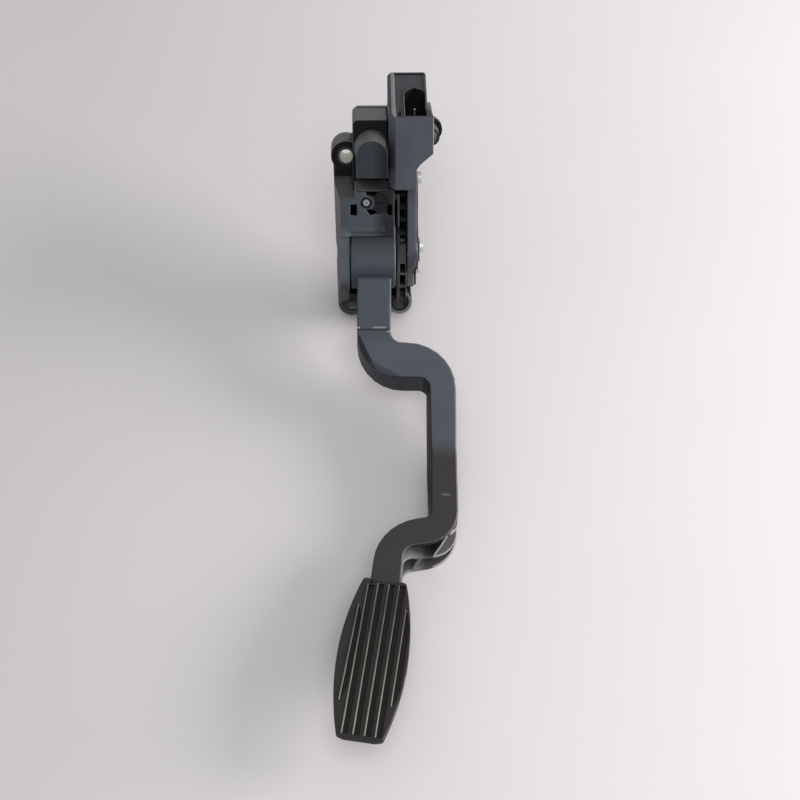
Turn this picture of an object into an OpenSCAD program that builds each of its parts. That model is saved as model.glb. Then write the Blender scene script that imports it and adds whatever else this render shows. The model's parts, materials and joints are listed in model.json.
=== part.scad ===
// Accelerator pedal module, hanging type, with one moulded arm bent twice in plan.
// Row frame: X to the right as seen from the driver, Y into the wall, Z up, in mm.
// The wall plane is Y = 0 and the module stands off it towards minus Y.
// "Depth" below always means the distance in front of the wall, so Y = -depth.
// Arm outlines are drawn in the front view (X, Z), arm thickness in the side view (depth, Z).

/* [Fixing] */
// Bore of the four steel bushes, for an M6 stud
bush_bore = 6.8; // [6.4:0.1:7.2]
// Wall of the steel bushes
bush_wall = 1.1; // [0.9:0.1:1.4]
// Stand-off of the two upper fixing lugs
upper_lug_depth = 24; // [20:0.5:25]
// Stand-off of the two lower fixing lugs
lower_lug_depth = 12; // [10:0.5:14]
// Thickness of the base plate
base_t = 5; // [4.5:0.1:5.3]

/* [Pivot] */
// Pin diameter
pin_d = 8; // [7:0.1:8.6]
// Wall of the two plastic bearings in the cheeks
bearing_wall = 2; // [1.5:0.1:2.5]
// Outer radius of the hub drum
hub_r = 19.6; // [18.5:0.1:20]

/* [Arm] */
// Depth of the arm section below its crease
arm_depth = 25; // [22:0.5:27]
// Wall of the arm channel
arm_wall = 2.6; // [2:0.1:3.2]
// Thickness of the ribs in the channel
rib_t = 1.7; // [1.2:0.1:2.4]

/* [Pad] */
// Half of the greatest width of the pad
pad_half = 16.6; // [15.5:0.1:18]
// Thickness of the pad cover
pad_t = 4.6; // [4:0.1:6]
// Distance between the tread lines
tread_pitch = 5.05; // [4.6:0.05:5.3]
// Width of each tread groove
groove_w = 2.5; // [1.8:0.1:2.9]
// Depth of each tread groove
groove_d = 1.6; // [1:0.1:2.4]

/* [Springs] */
// Mean radius of the outer return spring
outer_coil_r = 4.2; // [4:0.05:4.4]
// Wire of the outer return spring
outer_wire = 1.3; // [1:0.1:1.4]
// Mean radius of the inner return spring
inner_coil_r = 2.5; // [2.3:0.05:2.7]
// Wire of the inner return spring
inner_wire = 0.9; // [0.7:0.1:1]

/* [Hidden] */
$fn = 48;
e = 0.01;
run = 0.05;
gap = 0.4;
pivot_d = 28;
pivot_z = 9.5;
pin_r = pin_d / 2;
bearing_r = pin_r + run + bearing_wall;
bush_r = bush_bore / 2 + bush_wall;
hub_x0 = -24.0;
hub_x1 = -1.8;
cheek_in_l = -24.5;
cheek_out_l = -28.9;
cheek_in_r = -1.3;
ladder_x1 = 4.0;
ul = [-26.0, 56.5];
ur = [16.2, 65.9];
ll = [-23.5, -22.3];
lr = [1.1, -22.5];
upper_lug_r = 7.5;
lower_lug_r = 7;
tower_x = -13.5;
tower_z = 63.6;
tower_r = 7.7;
tower_front = 60;
tower_wall = 2;
block_front = 38;
panel_front = 45;
panel_t = 2.6;
ring_at = [-16.2, 37.3];
ring_r = 2.9;
ring_wall = 1.1;
plug_r = 5.6;
plug_at = [-11, 37.2];
case_x0 = 4.2;
case_x1 = 8.7;
lid_t = 1.15;
tail_in = 0.9;
rotor_r = 7.6;
room_r = 8.9;
body_back = base_t + 0.4;
lid_x1 = case_x1 + lid_t;
function rp(d, z) = [pivot_d + d, pivot_z + z];

// The arm lies in two planes that lean out from the wall, met in a mitre.
lean_a = 36;
lean_b = 48;
crease = [56.2, -24.3];
bend_at = -66.84;
// Outlines in those planes, from the hub down: X and the distance along the slope
up_left = [[-20.8, 48], [-21.3, -24.8], [14.4, -25.1], [14.4, -72]];
up_left_r = [0, 23, 5.5, 0];
up_right = [[-3.6, 48], [-4.6, -6.7], [27.8, -6.9], [26.9, -50], [26.8, -72]];
up_right_r = [0, 6, 24, 60, 0];
low_left = [[14.33, 4], [14.33, -8], [13.5, -31.4], [-11.9, -35.4], [-15.9, -63.6], [-25, -118]];
low_left_r = [0, 60, 3.5, 25, 60, 0];
low_right = [[26.87, 4], [26.87, -10], [26.4, -44.3], [0.2, -47.9], [-1.9, -67], [-10.6, -118]];
low_right_r = [0, 60, 18, 6, 60, 0];
function pa(y, n) = [crease[0] - sin(lean_a) * y + cos(lean_a) * n,
  crease[1] + cos(lean_a) * y + sin(lean_a) * n];
bend = pa(bend_at, 0);
function pb(y, n) = [bend[0] - sin(lean_b) * y + cos(lean_b) * n,
  bend[1] + cos(lean_b) * y + sin(lean_b) * n];
mid = (lean_a + lean_b) / 2;
function pm(n) = bend + [cos(mid), sin(mid)] * n / cos((lean_b - lean_a) / 2);
deep_a = arm_depth - 3;
deep_m = arm_depth - 0.2;
deep_b = arm_depth + 3.8;
pad_top = 1.2;
pad_len = 79.6;
pad_turn = 9.4;
pad_o = [-9.3, -66.5];

function unit(v) = v / norm(v);
function turn(a, b, c) = (b[0] - a[0]) * (c[1] - b[1]) - (b[1] - a[1]) * (c[0] - b[0]);
function arc_pts(a, b, c, r, n) =
  let(u = unit(a - b), w = unit(c - b), h = acos(u * w) / 2, m = b + unit(u + w) * (r / sin(h)),
      s = b + u * (r / tan(h)), f = b + w * (r / tan(h)),
      a0 = atan2(s[1] - m[1], s[0] - m[0]), a1 = atan2(f[1] - m[1], f[0] - m[0]),
      d0 = a1 - a0, d = d0 > 180 ? d0 - 360 : (d0 < -180 ? d0 + 360 : d0))
  [for (i = [0 : n]) m + r * [cos(a0 + d * i / n), sin(a0 + d * i / n)]];
function rounded(v, r, n) = [v[0],
  for (i = [1 : len(v) - 2]) each (r[i] > 0 ? arc_pts(v[i - 1], v[i], v[i + 1], r[i], n) : [v[i]]),
  v[len(v) - 1]];
function lnorm(a, b) = let(u = unit(b - a)) [-u[1], u[0]];
function meet(p, u, q, w) = let(k = u[0] * w[1] - u[1] * w[0],
  t = ((q[0] - p[0]) * w[1] - (q[1] - p[1]) * w[0]) / k) p + u * t;
function shifted(v, t) = [for (i = [0 : len(v) - 1])
  i == 0 ? v[0] + lnorm(v[0], v[1]) * t :
  i == len(v) - 1 ? v[i] + lnorm(v[i - 1], v[i]) * t :
  meet(v[i - 1] + lnorm(v[i - 1], v[i]) * t, v[i] - v[i - 1],
       v[i] + lnorm(v[i], v[i + 1]) * t, v[i + 1] - v[i])];
function radii(v, r, t) = [for (i = [0 : len(v) - 1])
  (i == 0 || i == len(v) - 1) ? 0 : r[i] - sign(turn(v[i - 1], v[i], v[i + 1])) * t];
function back(v) = [for (i = [len(v) - 1 : -1 : 0]) v[i]];
function dz(v) = [for (p = v) [-p[0], p[1]]];

module slab(d0, d1) translate([0, -d0, 0]) rotate([90, 0, 0]) linear_extrude(d1 - d0) children();
module side(x0, x1) translate([x0, 0, 0]) rotate([90, 0, 90]) linear_extrude(x1 - x0) children();
module bx(x0, x1, d0, d1, z0, z1) translate([x0, -d1, z0]) cube([x1 - x0, d1 - d0, z1 - z0]);
module xc(r, x0, x1, d, z) translate([x0, -d, z]) rotate([0, 90, 0]) cylinder(r = r, h = x1 - x0);
module yc(r, d0, d1, x, z) translate([x, -d0, z]) rotate([90, 0, 0]) cylinder(r = r, h = d1 - d0);
module ycone(r0, r1, d0, d1, x, z)
  translate([x, -d0, z]) rotate([90, 0, 0]) cylinder(r1 = r0, r2 = r1, h = d1 - d0);

// Housing: base plate, lugs, spring block and tower, panel, two cheeks
module lug(p, r, d) yc(r, 0, d, p[0], p[1]);

// Rounded upper left corner of a block seen from the front
function block_edge(x, z, r) = [for (i = [0 : 6]) [x + r - r * cos(15 * i), z - r + r * sin(15 * i)]];
module housing_solid() {
  slab(0, base_t) polygon([[-32.4, 48], [-32.8, 54], [-32, 60], [-22.5, 64], [-20.5, 77.6], [-2, 77.6],
    [6, 76.6], [12, 71.6], [17, 72.2], [22, 68], [20, 60.2], [10, 56.4], [6.4, 46], [7, -20], [4, -28],
    [-24, -28.6], [-30.5, -23]]);
  lug(ul, upper_lug_r, upper_lug_depth);
  lug(ur, upper_lug_r - 0.9, upper_lug_depth);
  lug(ll, lower_lug_r, lower_lug_depth);
  lug(lr, lower_lug_r - 0.7, lower_lug_depth);
  // spring block behind the tower
  slab(1, block_front) polygon([each block_edge(-22.7, 77.2, 2.6), [-3.4, 77.2], [-3.4, 20],
    [-22.7, 20]]);
  // tower, coned a little like the moulding
  ycone(tower_r + 1.1, tower_r, block_front - 1, tower_front, tower_x, tower_z);
  bx(tower_x - tower_r, tower_x + tower_r, block_front - 1, tower_front, 52.7, tower_z);
  // left cheek with the sloped shoulder under the upper lug
  intersection() {
    side(-40, cheek_in_l) polygon(dz([[1, 58], [upper_lug_depth, 50], [upper_lug_depth + 0.2, 46.5],
      [panel_front, 39.2], [panel_front, 19.8], [panel_front - 1.6, 19.8], [panel_front - 1.6, -3.4],
      [41, -8.5], [14, -23], [1, -24]]));
    translate([0, 0, -60]) linear_extrude(140) polygon([[-40, 0], [-33, -upper_lug_depth],
      [cheek_out_l, -panel_front + 0.3], [cheek_out_l + 0.2, -60], [0, -60], [0, 0]]);
    slab(0, 60) polygon([[-32.1, 70], [-32.1, 46], [-30.1, -30], [0, -30], [0, 70]]);
  }
  side(cheek_in_l - e, -22.1) polygon(dz([[1, 60], [upper_lug_depth, 60], [upper_lug_depth + 0.2, 46.5],
    [panel_front, 39.2], [panel_front, 30], [1, 30]]));
  // panel
  bx(cheek_out_l + 1, -2.4, panel_front - panel_t, panel_front, 19.8, 39.2);
  side(-22.2, -2.4) polygon(dz([[block_front - 2, 48], [panel_front, 43.6], [panel_front, 38],
    [block_front - 2, 38]]));
  bx(-24.2, -7.4, panel_front - 1, panel_front + 0.7, 22.6, 25.2);
  // right cheek, a ladder of ribs between two walls
  side(cheek_in_r, ladder_x1) polygon(dz([[1, 43.4], [37, 43.4], [37.6, 0], [31, -15], [15, -25],
    [1, -26]]));
  bx(-3.4, 0.1, 28, 41, 24, 40.4);
  // pivot bosses
  xc(bearing_r + 2.4, cheek_out_l - 0.6, cheek_in_l, pivot_d, pivot_z);
  // post of the full-travel stop
  yc(5.5, 1, lower_lug_depth, -12.6, -20.5);
}

module housing() color([0.2, 0.215, 0.235]) difference() {
  housing_solid();
  // spring room and drum room
  bx(-20.2, -5.4, base_t, block_front - 2.2, 19, 75);
  bx(cheek_in_l, cheek_in_r, base_t, panel_front - panel_t, -19, 37.4);
  yc(outer_coil_r + outer_wire / 2 + 0.35, 30, tower_front - tower_wall, tower_x, tower_z);
  xc(hub_r + gap + 0.1, cheek_in_l, cheek_in_r, pivot_d, pivot_z);
  bx(cheek_in_l, cheek_in_r, 30, 60, -30, 18.5);
  bx(cheek_in_l, cheek_in_r, lower_lug_depth, 60, -30, 10);
  // clear of the sensor body
  bx(-5.6, 30, body_back - 0.3, 70, 43.8, 80);
  // bores of the lugs
  for (p = [ul, ur, ll, lr]) yc(bush_r, -1, 30, p[0], p[1]);
  // bearing bores
  xc(bearing_r, -35, 10, pivot_d, pivot_z);
  // ladder slots from the front
  for (s = [[33.4, 38.2], [27.0, 31.8], [20.0, 25.6], [14.6, 18.6], [-0.4, 4.2], [-7.6, -1.8]])
    bx(0.65, 3.1, 8, 50, s[0], s[1]);
  bx(0.65, 3.1, 13, 50, -19, -9.2);
  bx(-2.2, 3.1, 22, 50, 40.4, 50);
  // pocket of the pin's end in the left cheek
  xc(bearing_r + 1.4, -40, cheek_out_l - 0.6, pivot_d, pivot_z);
  // holes in the panel
  bx(-24.2, -20.9, 30, 50, 30.9, 36.4);
  bx(-6.0, -3.7, 36, 50, 30.8, 36.3);
  panel_slots();
  yc(ring_r, 38, 50, ring_at[0], ring_at[1]);
  difference() {
    yc(plug_r, 38, 50, plug_at[0], plug_at[1]);
    yc(ring_r + ring_wall, 30, 60, ring_at[0], ring_at[1]);
  }
}
// Two slots beside the ring, through panel and plug
module panel_slots() {
  slab(34, 50) polygon([[-16.6, 43], [-10.4, 42.9], [-11.6, 41.2], [-14, 40.6], [-16.2, 40.9]]);
  slab(34, 50) polygon([[-16.4, 33.7], [-13.9, 34.1], [-11, 32.9], [-11.6, 31.9], [-14.4, 30.8]]);
}

module bush(p, d) difference() {
  yc(bush_r, 0, d + 0.3, p[0], p[1]);
  yc(bush_bore / 2, -1, d + 1, p[0], p[1]);
}
module bush_upper_left() color([0.75, 0.74, 0.68]) bush(ul, upper_lug_depth);
module bush_upper_right() color([0.75, 0.74, 0.68]) bush(ur, upper_lug_depth);
module bush_lower_left() color([0.75, 0.74, 0.68]) bush(ll, lower_lug_depth);
module bush_lower_right() color([0.75, 0.74, 0.68]) bush(lr, lower_lug_depth);

// Sensor body: connector block above, flat sensor case below it beside the ladder
mouth_lean = 24.2;
module mouth() translate([0, -30, 88.3]) rotate([mouth_lean, 0, 0]) children();
// Screws of the lid: depth, height and how far the seat stands off the lid's face
sensor_screw_at = [[15, 43.6, 0], [14, 7.6, 1], [17, -2.7, -tail_in]];
module sensor_solid() {
  difference() {
    union() {
      slab(body_back, 48) polygon([[-2.1, 44.2], [case_x1, 44.2], [case_x1, 54.3], [10.3, 56.8],
        [16.8, 62.3], [16.8, 80], [-2.1, 80]]);
      // left side with its long chamfer
      translate([0, 0, 44.2]) linear_extrude(35.8)
        polygon([[-5.2, -body_back], [-2.0, -body_back], [-2.0, -48], [-5.2, -42.5]]);
    }
    // room for the upper right lug
    yc(upper_lug_r - 0.5, 0, upper_lug_depth + 0.8, ur[0], ur[1]);
    bx(8.9, 30, 0, upper_lug_depth + 0.8, 61, 74.5);
  }
  // shroud with its mouth sloping up to the back
  difference() {
    side(-5.2, 16.8) polygon(dz([[12, 80], [12, 96.4], [48, 80.2], [48, 78], [30, 78]]));
    translate([0, 0, 70]) linear_extrude(40) polygon([[14.1, 0], [30, 0], [30, -49], [16.81, -49],
      [16.8, -47], [14.1, -38]]);
    translate([0, 0, 70]) linear_extrude(40) polygon([[-6, -60], [-2.0, -60], [-2.0, -48], [-5.2, -42.5],
      [-6, -42.5]]);
    // broken upper corners
    mouth() translate([0, 30, 0]) rotate([90, 0, 0]) linear_extrude(60)
      polygon([[-6, 1], [-6, -2.2], [-5.3, -1.7], [-3.6, 0.1], [-3.6, 1]]);
    mouth() translate([0, 30, 0]) rotate([90, 0, 0]) linear_extrude(42)
      polygon([[15, 1], [15, -1.5], [14.2, -1], [13.1, 0.1], [13.1, 1]]);
  }
  // flat case on the ladder, thinner at its tail
  side(case_x0, case_x1 - tail_in) polygon(dz([[7, 45], rp(12, 35.5), rp(12, 2), rp(10.6, -3.4), rp(7, -7.6),
    rp(3.5, -10.4), rp(2, -11.6), [30, -9], [26, -10.5], [18, -10.5], [7, -2]]));
  side(case_x1 - tail_in - e, case_x1) polygon(dz([[7, 45], rp(12, 35.5), rp(12, 2), rp(10.6, -3.4),
    rp(7, -7.6), rp(5.5, 1.05 - pivot_z), [7, 1.05]]));
  xc(4.4, case_x0, lid_x1 - 0.4, pivot_d + 7.5, pivot_z + 0.9);
}

module sensor_body() color([0.22, 0.235, 0.255]) difference() {
  sensor_solid();
  mouth() {
    // shallow step inside the rim, leaving a collar round the socket
    difference() {
      translate([-1.6, -18.4, -0.8]) cube([14.7, 36.9, 30]);
      translate([2, -30, -5]) cube([12, 30.4, 10]);
      translate([8.05, 0.4, -5]) cylinder(r = 6.05, h = 10);
    }
    // socket with an arched mouth
    translate([2.9, -18, -19]) cube([10.3, 18.4, 30]);
    translate([8.05, 0.4, -19]) cylinder(r = 5.15, h = 30);
    translate([7.3, 4, -8]) cube([1.3, 2.2, 20]);
    translate([-0.8, -17.4, -6]) cube([1.6, 5, 20]);
  }
  // sensor room
  xc(room_r, 5.2, case_x1 + 0.1, pivot_d, pivot_z);
  bx(5.2, case_x1 + 0.1, pivot_d - 7, pivot_d + 7, pivot_z + 2, pivot_z + 30.5);
  xc(pin_r + 0.6, 3, 7, pivot_d, pivot_z);
  xc(pin_r + 1.8, 3, 4.95, pivot_d, pivot_z);
  // screw holes
  for (s = sensor_screw_at) xc(1.25, 5, 12, s[0], s[1]);
}

module sensor_lid() color([0.16, 0.17, 0.18]) difference() {
  union() {
    side(case_x1, lid_x1) polygon(dz([[7.6, 47.4], [20, 47.4], [24, 44.6], rp(1, 35.1), rp(2, 14.5),
      rp(6, 10.5), rp(6, 0.5 - pivot_z), [7.6, 0.5]]));
    side(case_x1 - tail_in, lid_x1 - tail_in) polygon(dz([[7.6, 1], rp(5.4, 1 - pivot_z), rp(1, -13.5),
      [26, -9.6], [18, -9.6], [7.6, -2]]));
    xc(6, lid_x1 - 0.1, lid_x1 + 0.7, pivot_d, pivot_z);
    xc(3.9, lid_x1 - 0.1, lid_x1 + sensor_screw_at[1][2], sensor_screw_at[1][0], sensor_screw_at[1][1]);
  }
  for (s = sensor_screw_at) xc(1.6, 7, 15, s[0], s[1]);
  xc(4.45, 7, 15, pivot_d + 7.5, pivot_z + 0.9);
}

module sensor_screws() color([0.8, 0.8, 0.78])
  for (s = sensor_screw_at) {
    seat = lid_x1 + s[2];
    xc(1.2, 5.6, seat + 0.01, s[0], s[1]);
    difference() {
      xc(3, seat, seat + 2, s[0], s[1]);
      translate([seat + 1.2, -s[0], s[1]]) rotate([0, 90, 0]) cylinder(r = 1.3, h = 2, $fn = 6);
    }
  }

module terminals() color([0.8, 0.72, 0.5])
  for (i = [0 : 2]) for (j = [0 : 1])
    mouth() translate([7.9 + (i - 1) * 2.9 - 0.35, -12 + j * 7, -19])
      cube([0.7, 0.7, i == 1 && j == 1 ? 13.6 : 9]);

module circuit_board() color([0.1, 0.3, 0.18]) union() {
  bx(7.7, 8.3, pivot_d - 6, pivot_d + 6, pivot_z + 3, pivot_z + 29.5);
  xc(rotor_r + 0.4, 7.7, 8.3, pivot_d, pivot_z);
}

module shaft_seal() color([0.08, 0.08, 0.08]) difference() {
  xc(pin_r + 1.8, case_x0, 4.95, pivot_d, pivot_z);
  xc(pin_r + 0.35, 0, 8, pivot_d, pivot_z);
}

module panel_screw() color([0.78, 0.78, 0.76]) {
  yc(ring_r, 41.4, 43, ring_at[0], ring_at[1]);
  difference() {
    yc(1.6, 42.9, 44.7, ring_at[0], ring_at[1]);
    yc(0.7, 44.2, 46, ring_at[0], ring_at[1]);
  }
}

module panel_plug() color([0.28, 0.29, 0.31]) difference() {
  yc(plug_r, 41.4, 44.7, plug_at[0], plug_at[1]);
  yc(ring_r + ring_wall + 0.05, 40, 46, ring_at[0], ring_at[1]);
  panel_slots();
  bx(-13, -4, 44.2, 46, 36.95, 37.45);
}

// Arm
module plane_a() translate([0, -crease[0], crease[1]]) rotate([90 - lean_a, 0, 0]) children();
module plane_b() translate([0, -bend[0], bend[1]]) rotate([90 - lean_b, 0, 0]) children();
module raise() translate([0, 0, -60]) linear_extrude(90) children();
module band(l, lr, r, rr) polygon(concat(rounded(l, lr, 7), back(rounded(r, rr, 7))));
module room(l, lr, to) polygon(concat(rounded(shifted(l, arm_wall), radii(l, lr, arm_wall), 7),
  [[70, to], [70, l[0][1]]]));
module arm_side() side(-60, 80) polygon(dz([[44, 0.2], [47.2, -1.2], crease, bend, pb(pad_o[1] - 2.5, 0),
  pb(pad_o[1] - 2.5, pad_top - pad_t), pb(-116, pad_top - pad_t - 1), pb(-116, -10), pb(-72, -deep_b),
  pb(-42, -deep_b), pm(-deep_m), pa(-22, -deep_a), [34, -26], [20, 0.2]]));
module plane_m() translate([0, -bend[0], bend[1]]) rotate([90 - mid, 0, 0]) children();
// A prism along the slope, drawn as X and distance from the front face
module along(s0, s1) translate([0, s1, 0]) rotate([90, 0, 0]) linear_extrude(s1 - s0) children();
// Broken front corner at the outer side of the first bend, along a line in plane a
module broken(a, b, past) let(w = atan2(b[1] - a[1], b[0] - a[0]))
  plane_a() translate([a[0], a[1], 0]) rotate([0, 0, w]) rotate([52, 0, 0]) translate([-20, -12, -0.02])
    cube([norm(b - a) + 20 + past, 12, 30]);
module arm_plan() {
  // draft of the outer wall between the bends
  plane_m() along(-33, 44) polygon([[14.58, 3], [16, 3], [16, -31], [12.6, -31]]);
  plane_a() raise() band(up_left, up_left_r, up_right, up_right_r);
  plane_b() raise() band(low_left, low_left_r, low_right, low_right_r);
}
module room_side(t) side(-60, 80) polygon(dz([[36, -27], pa(-3, -t), pm(-t), pb(-62, -t), pb(-66, -t - 4),
  pb(-108, -t - 5.5), pb(-72, -deep_b + t), pb(-42, -deep_b + t), pm(-deep_m + t), pa(-21, -deep_a + t)]));
module room_plan() {
  plane_a() raise() room(up_left, up_left_r, up_left[3][1]);
  plane_b() raise() room(low_left, low_left_r, low_left[5][1]);
}
// A rib as a thin strip between two points of the side view, all across the channel
module strip(a, b) {
  n = lnorm(a, b) * rib_t / 2;
  side(-60, 80) polygon(dz([a + n, b + n, b - n, a - n]));
}
module ribs_a() {
  m = -deep_a / 2;
  strip(pa(-5, m), pm(m));
  strip(pa(-4, 0), pa(-20, -deep_a));
  strip(pa(-20, -deep_a), pa(-36, 0));
  strip(pa(-36, 0), pa(-52, -deep_a - 1));
  strip(pa(-52, -deep_a - 1), pa(-66, 0));
}
module ribs_b() {
  m = -deep_b / 2;
  strip(pm(-deep_a / 2), pb(-24, m));
  strip(pb(2, -2), pb(-14, -deep_b));
  strip(pb(-14, -deep_b), pb(-27, 0));
  strip(pb(-60, -6), pb(-78, m));
  // bracing of the second bend, as X and distance from the front face
  for (v = [[[-3, -9], [6, -14.6]], [[5.9, -14.6], [14.5, -16.3]], [[14.4, -16.3], [28, -23.4]],
      [[14.2, -16.3], [21.8, 0.5]], [[21.6, 0], [29, -15]], [[2.6, -33], [8.6, -15]]])
    plane_b() along(-60, -28) long_strip(v[0], v[1]);
}
module long_strip(a, b) {
  n = lnorm(a, b) * rib_t / 2;
  polygon([a - n, b - n, b + n, a + n]);
}
module pad_frame() plane_b() translate([pad_o[0], pad_o[1], pad_top])
  rotate([0, 0, -pad_turn]) children();
pad_edge = [[9.3, 0.7], [10.9, -0.4], [12.3, -3], [13.2, -6.4], [30, -12], [30, -70], [12.9, -pad_len + 5.8],
  [12.1, -pad_len + 2.9], [10.4, -pad_len + 0.9], [7.6, -pad_len]];
module pad_shape(inset) {
  big = 131;
  intersection() {
    translate([-big + pad_half - inset, -40]) circle(r = big, $fn = 96);
    translate([big - pad_half + inset, -40]) circle(r = big, $fn = 96);
    polygon([for (v = concat(pad_edge, [for (p = back(pad_edge)) [-p[0], p[1]]]))
      [v[0] - sign(v[0]) * inset, v[1] - sign(v[1] + pad_len / 2) * inset]]);
  }
}
module foot() pad_frame() translate([0, 0, -pad_t - 2.4]) linear_extrude(2.4) pad_shape(2.6);

module pedal_arm() color([0.2, 0.2, 0.205]) difference() {
  union() {
    difference() {
      intersection() {
        arm_plan();
        arm_side();
      }
      intersection() {
        room_plan();
        room_side(arm_wall);
      }
    }
    intersection() {
      union() {
        ribs_a();
        ribs_b();
      }
      arm_plan();
      arm_side();
    }
    // hub drum and heel lever
    xc(hub_r, hub_x0, hub_x1, pivot_d, pivot_z);
    side(tower_x - 4.5, tower_x + 4.5) polygon(dz([[9.2, 10], [9.2, 70], [15, 70], [16.5, 40], [24, 24], [30, 10]]));
    yc(5.2, 10, 17, tower_x, tower_z - 1.2);
    foot();
  }
  // room in both ends of the drum
  for (x = [[-25, -15.5], [-9.5, 0]]) difference() {
    xc(hub_r - 3, x[0], x[1], pivot_d, pivot_z);
    xc(pin_r + 3.4, x[0] - 1, x[1] + 1, pivot_d, pivot_z);
    side(-30, 5) polygon(dz([[pivot_d - 3, 8], [60, 8], [60, -50], [pivot_d - 3, -50]]));
  }
  xc(pin_r, -40, 20, pivot_d, pivot_z);
  broken([-21.5, -0.4], [-14, -16.6], 12);
  broken([-14, -16.6], [1, -25.1], 3);
  // seat of the tread cover
  pad_frame() translate([0, 0, -pad_t]) linear_extrude(pad_t + 6) pad_shape(-0.05);
}

// Tread lines: X at the top, top end, X at the bottom, bottom end
tread = [[-10.6, -13.4, -12.1, -62.4], [-8 + 0.2, -2.6, -8.5, -78.2], [-8 + tread_pitch - 0.2, -1.6, -3.2, -78.2],
  [-8 + tread_pitch * 2, -1.4, 2.1, -78.2], [-8 + tread_pitch * 3 - 0.2, -1.2, 7.1, -78.2],
  [-8 + tread_pitch * 4 - 0.4, -13.2, 12.0, -62.2]];
module tread_line(t, a, b, taper) polygon([[t[0] + a, t[1]], [t[0] + b, t[1] - taper],
  [t[2] + b, t[3] + taper], [t[2] + a, t[3]]]);
module pad_cover() color([0.19, 0.185, 0.175]) pad_frame() {
  difference() {
    translate([0, 0, -pad_t]) linear_extrude(pad_t) pad_shape(0);
    for (t = tread) translate([0, 0, -groove_d]) linear_extrude(5)
      tread_line(t, 0.36, 0.36 + groove_w, t[1] < -10 ? 9 : 0);
    translate([-6.1, -1.2, -1.5]) cylinder(r = 0.7, h = 5);
  }
  for (t = tread) translate([0, 0, -0.5]) linear_extrude(1.1) tread_line(t, -0.38, 0.37, 0);
}

module bearing(x0, x1) difference() {
  xc(bearing_r, x0, x1, pivot_d, pivot_z);
  xc(pin_r + run, x0 - 1, x1 + 1, pivot_d, pivot_z);
}
module bearing_left() color([0.85, 0.83, 0.75]) bearing(cheek_out_l - 0.6, cheek_in_l + 0.1);
module bearing_right() color([0.85, 0.83, 0.75]) bearing(cheek_in_r - 0.1, ladder_x1);

clip_x = cheek_out_l - 0.9;
module pivot_pin() color([0.72, 0.72, 0.72]) difference() {
  xc(pin_r, clip_x - 1.3, 6.6, pivot_d, pivot_z);
  difference() {
    xc(pin_r + 1, clip_x - 0.8, clip_x, pivot_d, pivot_z);
    xc(pin_r - 0.6, clip_x - 2, clip_x + 1, pivot_d, pivot_z);
  }
}
module retaining_clip() color([0.5, 0.5, 0.5]) difference() {
  xc(pin_r + 2.2, clip_x - 0.78, clip_x - 0.02, pivot_d, pivot_z);
  xc(pin_r - 0.6, clip_x - 2, clip_x + 1, pivot_d, pivot_z);
  bx(clip_x - 2, clip_x + 1, pivot_d, pivot_d + 10, pivot_z - 2, pivot_z + 2);
}

// Springs: round wire on a screw line, drawn along the depth axis
module coil(r, w, turns, d0, d1, x, z) {
  n = 14;
  m = 5;
  steps = turns * n;
  pitch = (d1 - d0 - w) / turns;
  pts = [for (i = [0 : steps]) for (j = [0 : m - 1])
    let(a = 360 * i / n, b = 360 * j / m, q = r + w / 2 * cos(b))
    [q * cos(a), q * sin(a), w / 2 + pitch * i / n + w / 2 * sin(b)]];
  faces = concat(
    [[for (j = [m - 1 : -1 : 0]) j]],
    [for (i = [0 : steps - 1]) for (j = [0 : m - 1])
      [i * m + j, i * m + (j + 1) % m, (i + 1) * m + (j + 1) % m, (i + 1) * m + j]],
    [[for (j = [0 : m - 1]) steps * m + j]]);
  translate([x, -d0, z]) rotate([90, 0, 0]) polyhedron(pts, back(faces));
}
spring_d0 = 19;
spring_d1 = tower_front - tower_wall - 1.6;
module outer_spring() color([0.6, 0.6, 0.6])
  coil(outer_coil_r, outer_wire, 7, spring_d0, spring_d1, tower_x, tower_z);
module inner_spring() color([0.6, 0.6, 0.6])
  coil(inner_coil_r, inner_wire, 9, spring_d0, spring_d1, tower_x, tower_z);
module spring_cup() color([0.8, 0.8, 0.76]) {
  yc(5.4, 17.02, spring_d0 - 0.02, tower_x, tower_z);
  yc(1.5, 17.02, spring_d0 + 4, tower_x, tower_z);
}
module spring_base() color([0.8, 0.8, 0.76])
  yc(outer_coil_r + outer_wire / 2 + 0.2, spring_d1 + 0.02, tower_front - tower_wall, tower_x, tower_z);

module rotor_carrier() color([0.85, 0.83, 0.75]) difference() {
  xc(rotor_r, 5.6, 6.5, pivot_d, pivot_z);
  xc(pin_r, 0, 20, pivot_d, pivot_z);
}
module rotor_magnet() color([0.3, 0.3, 0.32]) difference() {
  xc(rotor_r, 6.5, 7.3, pivot_d, pivot_z);
  xc(pin_r + 0.9, 0, 20, pivot_d, pivot_z);
}
module rest_bumper() color([0.07, 0.07, 0.07]) yc(3.6, base_t, 8.9, tower_x, 48);
module travel_stop() color([0.07, 0.07, 0.07]) ycone(4.6, 3.8, lower_lug_depth, 19.5, -12.6, -20.5);

housing();
bush_upper_left();
bush_upper_right();
bush_lower_left();
bush_lower_right();
sensor_body();
sensor_lid();
terminals();
circuit_board();
shaft_seal();
sensor_screws();
panel_screw();
panel_plug();
pedal_arm();
pad_cover();
pivot_pin();
bearing_left();
bearing_right();
retaining_clip();
outer_spring();
inner_spring();
spring_cup();
spring_base();
rotor_carrier();
rotor_magnet();
rest_bumper();
travel_stop();
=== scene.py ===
"""Hanging accelerator pedal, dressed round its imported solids.

The sections follow the pedal as it goes together: the room it is seen in, the
housing with its sleeves, panel screw and stops, the sensor, the pivot, the return
springs, the arm and the pad.
"""
import json
import math

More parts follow.
